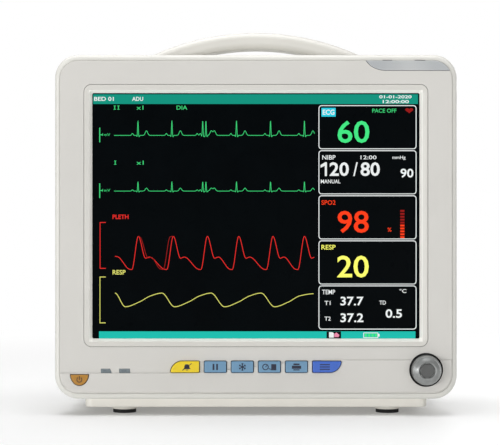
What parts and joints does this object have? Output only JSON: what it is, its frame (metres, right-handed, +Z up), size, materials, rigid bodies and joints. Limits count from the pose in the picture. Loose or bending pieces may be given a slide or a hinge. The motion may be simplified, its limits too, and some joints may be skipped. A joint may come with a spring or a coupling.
{
  "type": "patient monitor",
  "caption": "Bedside vital-signs monitor: flat display in a moulded case with a bow handle, front keys, a turn-and-push knob, side sockets and a strip recorder.",
  "frame": {"origin": "centre of the bounding box's footprint, on the plane of the four foot pads", "axes": "+X to the right as seen by someone facing the display, +Y from the display towards the back, +Z up"},
  "size_m": [0.302, 0.15, 0.2934],
  "materials": {
    "case_white": "fine moulded texture",
    "handle_white": "fine moulded texture",
    "base_white": "fine moulded texture",
    "surround_white": "satin",
    "display_black": "anti-glare film, lit picture",
    "lamp_lens": "frosted clear moulding",
    "light_guide": "smoked clear moulding",
    "power_orange": "satin",
    "key_yellow": "satin",
    "key_pale_blue": "satin",
    "key_blue": "satin",
    "knob_grey": "satin",
    "steel": "turned and plated",
    "sheet_steel": "zinc-plated sheet",
    "power_case": "folded sheet",
    "board_green": "solder mask",
    "rubber_black": "matt",
    "socket_black": "satin",
    "socket_blue": "satin",
    "socket_green": "satin",
    "socket_brown": "satin",
    "plate_grey": "satin",
    "recorder_grey": "satin",
    "paper_white": "thermal paper",
    "battery_wrap": "heat-shrink wrap"
  },
  "bodies": {
    "case": {"rear_cover": "case_white", "carrying_handle": "handle_white", "base_tray": "base_white", "front_bezel": "case_white", "screen_surround": "surround_white", "lcd_panel": "display_black", "lcd_bracket": "sheet_steel", "alarm_lens": "lamp_lens", "alarm_light_board": "board_green", "keypad_board": "board_green", "light_guide_1": "light_guide", "light_guide_2": "light_guide", "encoder_body": "sheet_steel", "socket_panel": "plate_grey", "ecg_socket": "socket_green", "spo2_socket": "socket_blue", "temperature_socket_1": "socket_brown", "temperature_socket_2": "socket_brown", "cuff_hose_port": "socket_black", "recorder_frame": "recorder_grey", "print_head": "recorder_grey", "paper_spindle": "recorder_grey", "battery_bay": "recorder_grey", "battery_pack": "battery_wrap", "port_plate": "sheet_steel", "mains_inlet": "socket_black", "network_port": "plate_grey", "ground_stud": "steel", "main_board": "board_green", "power_supply": "power_case", "cuff_pump": "steel", "speaker": "socket_black", "back_screw_1": "steel", "back_screw_2": "steel", "back_screw_3": "steel", "back_screw_4": "steel", "foot_holder_front_left": "base_white", "foot_holder_front_right": "base_white", "foot_holder_rear_left": "base_white", "foot_holder_rear_right": "base_white", "foot_pad_front_left": "rubber_black", "foot_pad_front_right": "rubber_black", "foot_pad_rear_left": "rubber_black", "foot_pad_rear_right": "rubber_black"},
    "silence_key": {"silence_key": "key_yellow"},
    "pause_key": {"pause_key": "key_pale_blue"},
    "freeze_key": {"freeze_key": "key_pale_blue"},
    "pressure_key": {"pressure_key": "key_pale_blue"},
    "print_key": {"print_key": "key_pale_blue"},
    "menu_key": {"menu_key": "key_blue"},
    "power_button": {"power_button": "power_orange"},
    "control_plunger": {"encoder_plunger": "steel"},
    "control": {"encoder_shaft": "steel", "control_knob": "knob_grey"},
    "recorder_door": {"recorder_door": "case_white"},
    "recorder_latch": {"recorder_latch": "recorder_grey"},
    "platen": {"platen_roller": "rubber_black"},
    "paper_roll": {"paper_roll": "paper_white"},
    "battery_door": {"battery_door": "case_white"}
  },
  "joints": [
    {"name": "silence_key_press", "type": "slide", "parent": "case", "child": "silence_key", "axis": [0, 1, 0], "range_m": [0, 0.001], "stiffness_N_per_m": 1500},
    {"name": "pause_key_press", "type": "slide", "parent": "case", "child": "pause_key", "axis": [0, 1, 0], "range_m": [0, 0.001], "stiffness_N_per_m": 1500},
    {"name": "freeze_key_press", "type": "slide", "parent": "case", "child": "freeze_key", "axis": [0, 1, 0], "range_m": [0, 0.001], "stiffness_N_per_m": 1500},
    {"name": "pressure_key_press", "type": "slide", "parent": "case", "child": "pressure_key", "axis": [0, 1, 0], "range_m": [0, 0.001], "stiffness_N_per_m": 1500},
    {"name": "print_key_press", "type": "slide", "parent": "case", "child": "print_key", "axis": [0, 1, 0], "range_m": [0, 0.001], "stiffness_N_per_m": 1500},
    {"name": "menu_key_press", "type": "slide", "parent": "case", "child": "menu_key", "axis": [0, 1, 0], "range_m": [0, 0.001], "stiffness_N_per_m": 1500},
    {"name": "power_button_press", "type": "slide", "parent": "case", "child": "power_button", "axis": [0, 1, 0], "range_m": [0, 0.001], "stiffness_N_per_m": 1500},
    {"name": "control_push", "type": "slide", "parent": "case", "child": "control_plunger", "axis": [0, 1, 0], "range_m": [0, 0.0006], "stiffness_N_per_m": 4000},
    {"name": "control_turn", "type": "hinge", "parent": "control_plunger", "child": "control", "pos_m": [0.1275, -0.065, 0.0346], "axis": [0, 1, 0], "continuous": true},
    {"name": "recorder_door_hinge", "type": "hinge", "parent": "case", "child": "recorder_door", "pos_m": [0.14545, 0.016, 0.0971], "axis": [0, 1, 0], "range_deg": [0, 80]},
    {"name": "recorder_latch_press", "type": "slide", "parent": "recorder_door", "child": "recorder_latch", "axis": [-1, 0, 0], "range_m": [0, 0.0012], "stiffness_N_per_m": 800},
    {"name": "platen_spin", "type": "hinge", "parent": "recorder_door", "child": "platen", "pos_m": [0.1385, 0.016, 0.155], "axis": [0, 1, 0], "continuous": true},
    {"name": "paper_roll_spin", "type": "hinge", "parent": "case", "child": "paper_roll", "pos_m": [0.117, 0.016, 0.122], "axis": [0, 1, 0], "continuous": true},
    {"name": "battery_door_hinge", "type": "hinge", "parent": "case", "child": "battery_door", "pos_m": [0.078, 0.07345, 0.0339], "axis": [-1, 0, 0], "range_deg": [0, 100]}
  ],
  "couplings": [
    {"joint": "platen_spin", "follows": "paper_roll_spin", "ratio": -5}
  ]
}
